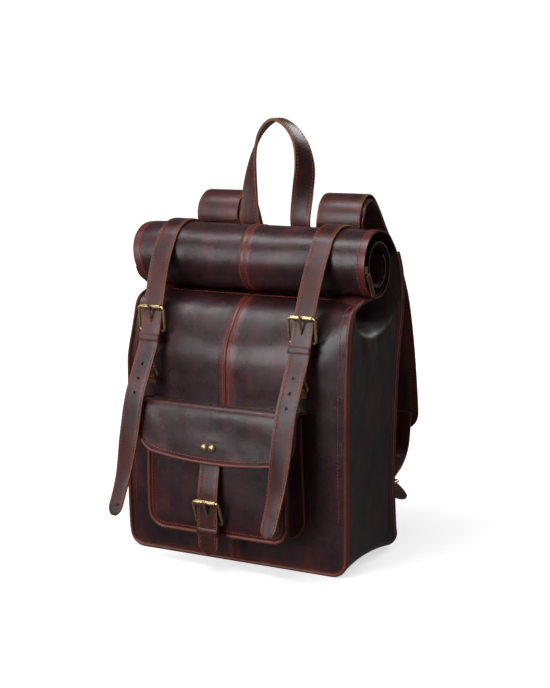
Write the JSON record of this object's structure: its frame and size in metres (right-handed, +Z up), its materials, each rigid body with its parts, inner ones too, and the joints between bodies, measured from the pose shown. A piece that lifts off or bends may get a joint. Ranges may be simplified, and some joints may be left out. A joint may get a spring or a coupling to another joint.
{
  "type": "leather roll-top backpack",
  "caption": "Waxed leather roll-top backpack with a flapped front pocket, buckled closing straps, a carrying handle and padded shoulder straps.",
  "frame": {"origin": "centre of the base, on the surface that the bag stands on", "axes": "+Z up, front pocket faces -Y, +X is to the right of a viewer who faces the front"},
  "size_m": [0.3185, 0.3099, 0.5252],
  "materials": {
    "front_panel_left": "waxed pull-up leather",
    "front_panel_right": "waxed pull-up leather",
    "back_panel": "waxed pull-up leather",
    "body_piping": "burnished red-brown leather",
    "base_panel": "waxed pull-up leather",
    "side_gussets": "waxed pull-up leather",
    "base_board": "plain board",
    "back_foam_pad": "plain",
    "roll_top": "waxed pull-up leather",
    "mouth_zip_tape": "plain",
    "zip_slider": "aged satin brass",
    "pocket_front_panel": "waxed pull-up leather",
    "pocket_gusset": "waxed pull-up leather",
    "pocket_piping": "burnished red-brown leather",
    "magnet_socket": "aged satin brass",
    "closing_strap_anchors": "waxed strap leather",
    "d_ring_tabs": "waxed strap leather",
    "handle_ends": "waxed strap leather",
    "shoulder_strap_ends": "waxed strap leather",
    "lower_strap_tabs": "waxed strap leather",
    "pocket_flap": "waxed pull-up leather",
    "pocket_flap_binding": "burnished red-brown leather",
    "pocket_rivets": "aged satin brass",
    "pocket_strap": "waxed strap leather",
    "pocket_buckle_frame": "aged satin brass",
    "pocket_keeper": "burnished red-brown leather",
    "pocket_chape": "waxed strap leather",
    "magnet_stud": "aged satin brass",
    "pocket_buckle_roller": "aged satin brass",
    "pocket_buckle_prong": "aged satin brass",
    "closing_strap_left": "waxed strap leather",
    "buckle_frame_left": "aged satin brass",
    "strap_keeper_left": "burnished red-brown leather",
    "strap_chape_left": "waxed strap leather",
    "hook_eye_left": "aged satin brass",
    "buckle_roller_left": "aged satin brass",
    "buckle_prong_left": "aged satin brass",
    "snap_hook_left": "aged satin brass",
    "hook_gate_left": "aged satin brass",
    "d_ring_left": "aged satin brass",
    "strap_tail_left": "waxed strap leather",
    "shoulder_strap_left": "waxed strap leather",
    "lower_strap_left": "waxed strap leather",
    "lower_buckle_left": "aged satin brass",
    "closing_strap_right": "waxed strap leather",
    "buckle_frame_right": "aged satin brass",
    "strap_keeper_right": "burnished red-brown leather",
    "strap_chape_right": "waxed strap leather",
    "hook_eye_right": "aged satin brass",
    "buckle_roller_right": "aged satin brass",
    "buckle_prong_right": "aged satin brass",
    "snap_hook_right": "aged satin brass",
    "hook_gate_right": "aged satin brass",
    "d_ring_right": "aged satin brass",
    "strap_tail_right": "waxed strap leather",
    "shoulder_strap_right": "waxed strap leather",
    "lower_strap_right": "waxed strap leather",
    "lower_buckle_right": "aged satin brass",
    "top_handle": "waxed strap leather",
    "zip_pull": "burnished red-brown leather"
  },
  "bodies": {
    "root": {"front_panel_left": "front_panel_left", "front_panel_right": "front_panel_right", "back_panel": "back_panel", "body_piping": "body_piping", "base_panel": "base_panel", "side_gussets": "side_gussets", "base_board": "base_board", "back_foam_pad": "back_foam_pad", "roll_top": "roll_top", "mouth_zip_tape": "mouth_zip_tape", "zip_slider": "zip_slider", "pocket_front_panel": "pocket_front_panel", "pocket_gusset": "pocket_gusset", "pocket_piping": "pocket_piping", "magnet_socket": "magnet_socket", "closing_strap_anchors": "closing_strap_anchors", "d_ring_tabs": "d_ring_tabs", "handle_ends": "handle_ends", "shoulder_strap_ends": "shoulder_strap_ends", "lower_strap_tabs": "lower_strap_tabs"},
    "flap": {"pocket_flap": "pocket_flap", "pocket_flap_binding": "pocket_flap_binding", "pocket_rivets": "pocket_rivets", "pocket_strap": "pocket_strap", "pocket_buckle_frame": "pocket_buckle_frame", "pocket_keeper": "pocket_keeper", "pocket_chape": "pocket_chape", "magnet_stud": "magnet_stud"},
    "pocket_roller": {"pocket_buckle_roller": "pocket_buckle_roller"},
    "pocket_prong": {"pocket_buckle_prong": "pocket_buckle_prong"},
    "strap_left": {"closing_strap_left": "closing_strap_left", "buckle_frame_left": "buckle_frame_left", "strap_keeper_left": "strap_keeper_left", "strap_chape_left": "strap_chape_left", "hook_eye_left": "hook_eye_left"},
    "roller_left": {"buckle_roller_left": "buckle_roller_left"},
    "prong_left": {"buckle_prong_left": "buckle_prong_left"},
    "hook_left": {"snap_hook_left": "snap_hook_left"},
    "gate_left": {"hook_gate_left": "hook_gate_left"},
    "ring_left": {"d_ring_left": "d_ring_left"},
    "tail_left": {"strap_tail_left": "strap_tail_left"},
    "shoulder_left": {"shoulder_strap_left": "shoulder_strap_left", "lower_strap_left": "lower_strap_left", "lower_buckle_left": "lower_buckle_left"},
    "strap_right": {"closing_strap_right": "closing_strap_right", "buckle_frame_right": "buckle_frame_right", "strap_keeper_right": "strap_keeper_right", "strap_chape_right": "strap_chape_right", "hook_eye_right": "hook_eye_right"},
    "roller_right": {"buckle_roller_right": "buckle_roller_right"},
    "prong_right": {"buckle_prong_right": "buckle_prong_right"},
    "hook_right": {"snap_hook_right": "snap_hook_right"},
    "gate_right": {"hook_gate_right": "hook_gate_right"},
    "ring_right": {"d_ring_right": "d_ring_right"},
    "tail_right": {"strap_tail_right": "strap_tail_right"},
    "shoulder_right": {"shoulder_strap_right": "shoulder_strap_right", "lower_strap_right": "lower_strap_right", "lower_buckle_right": "lower_buckle_right"},
    "handle": {"top_handle": "top_handle"},
    "pull": {"zip_pull": "zip_pull"}
  },
  "joints": [
    {"name": "pocket_flap_lift", "type": "hinge", "parent": "root", "child": "flap", "pos_m": [0, -0.096, 0.194], "axis": [-1, 0, 0], "range_deg": [0, 80]},
    {"name": "pocket_roller_spin", "type": "hinge", "parent": "flap", "child": "pocket_roller", "pos_m": [-0.005, -0.1311, 0.086], "axis": [1, 0, 0], "continuous": true},
    {"name": "pocket_prong_lift", "type": "hinge", "parent": "flap", "child": "pocket_prong", "pos_m": [-0.005, -0.1213, 0.059], "axis": [1, 0, 0], "range_deg": [0, 8]},
    {"name": "closing_strap_left_lift", "type": "hinge", "parent": "root", "child": "strap_left", "pos_m": [-0.101, 0.01502, 0.39913], "axis": [-1, 0, 0], "range_deg": [0, 90]},
    {"name": "strap_tail_left_swing", "type": "hinge", "parent": "strap_left", "child": "tail_left", "pos_m": [-0.101, -0.101, 0.258], "axis": [-1, 0, 0], "range_deg": [0, 50]},
    {"name": "buckle_roller_left_spin", "type": "hinge", "parent": "strap_left", "child": "roller_left", "pos_m": [-0.101, -0.09385, 0.30519], "axis": [1, 0, 0], "continuous": true},
    {"name": "buckle_prong_left_lift", "type": "hinge", "parent": "strap_left", "child": "prong_left", "pos_m": [-0.101, -0.09107, 0.2766], "axis": [1, 0, 0], "range_deg": [0, 8]},
    {"name": "snap_hook_left_swivel", "type": "hinge", "parent": "strap_left", "child": "hook_left", "pos_m": [-0.101, -0.097, 0.2345], "axis": [0, 0, 1], "range_deg": [0, 20]},
    {"name": "hook_gate_left_press", "type": "hinge", "parent": "hook_left", "child": "gate_left", "pos_m": [-0.10312, -0.09912, 0.2401], "axis": [0.7071, -0.7071, 0], "range_deg": [0, 15], "stiffness_Nm_per_rad": 0.004, "springref_deg": -11.46},
    {"name": "d_ring_left_swing", "type": "hinge", "parent": "root", "child": "ring_left", "pos_m": [-0.101, -0.0942, 0.2212], "axis": [1, 0, 0], "range_deg": [-3, 1.5]},
    {"name": "closing_strap_right_lift", "type": "hinge", "parent": "root", "child": "strap_right", "pos_m": [0.101, 0.01502, 0.39913], "axis": [-1, 0, 0], "range_deg": [0, 90]},
    {"name": "strap_tail_right_swing", "type": "hinge", "parent": "strap_right", "child": "tail_right", "pos_m": [0.101, -0.101, 0.258], "axis": [-1, 0, 0], "range_deg": [0, 50]},
    {"name": "buckle_roller_right_spin", "type": "hinge", "parent": "strap_right", "child": "roller_right", "pos_m": [0.101, -0.09385, 0.30519], "axis": [1, 0, 0], "continuous": true},
    {"name": "buckle_prong_right_lift", "type": "hinge", "parent": "strap_right", "child": "prong_right", "pos_m": [0.101, -0.09107, 0.2766], "axis": [1, 0, 0], "range_deg": [0, 8]},
    {"name": "snap_hook_right_swivel", "type": "hinge", "parent": "strap_right", "child": "hook_right", "pos_m": [0.101, -0.097, 0.2345], "axis": [0, 0, 1], "range_deg": [0, 20]},
    {"name": "hook_gate_right_press", "type": "hinge", "parent": "hook_right", "child": "gate_right", "pos_m": [0.09888, -0.09912, 0.2401], "axis": [0.7071, -0.7071, 0], "range_deg": [0, 15], "stiffness_Nm_per_rad": 0.004, "springref_deg": -11.46},
    {"name": "d_ring_right_swing", "type": "hinge", "parent": "root", "child": "ring_right", "pos_m": [0.101, -0.0942, 0.2212], "axis": [1, 0, 0], "range_deg": [-3, 1.5]},
    {"name": "top_handle_swing", "type": "hinge", "parent": "root", "child": "handle", "pos_m": [0, 0.031, 0.3935], "axis": [1, 0, 0], "range_deg": [-12, 38]},
    {"name": "zip_pull_swing", "type": "hinge", "parent": "root", "child": "pull", "pos_m": [0.158, -0.041, 0.3545], "axis": [0, -1, 0], "range_deg": [0, 80]},
    {"name": "shoulder_strap_right_swing", "type": "hinge", "parent": "root", "child": "shoulder_right", "pos_m": [0.082, 0.037, 0.396], "axis": [0.1208, 0.1348, -0.9835], "range_deg": [-6, 10]},
    {"name": "shoulder_strap_left_swing", "type": "hinge", "parent": "root", "child": "shoulder_left", "pos_m": [-0.082, 0.037, 0.396], "axis": [0.1208, -0.1348, 0.9835], "range_deg": [-6, 10]}
  ],
  "couplings": [
    {"joint": "strap_tail_left_swing", "follows": "pocket_flap_lift", "ratio": 0.55},
    {"joint": "strap_tail_right_swing", "follows": "pocket_flap_lift", "ratio": 0.55}
  ]
}
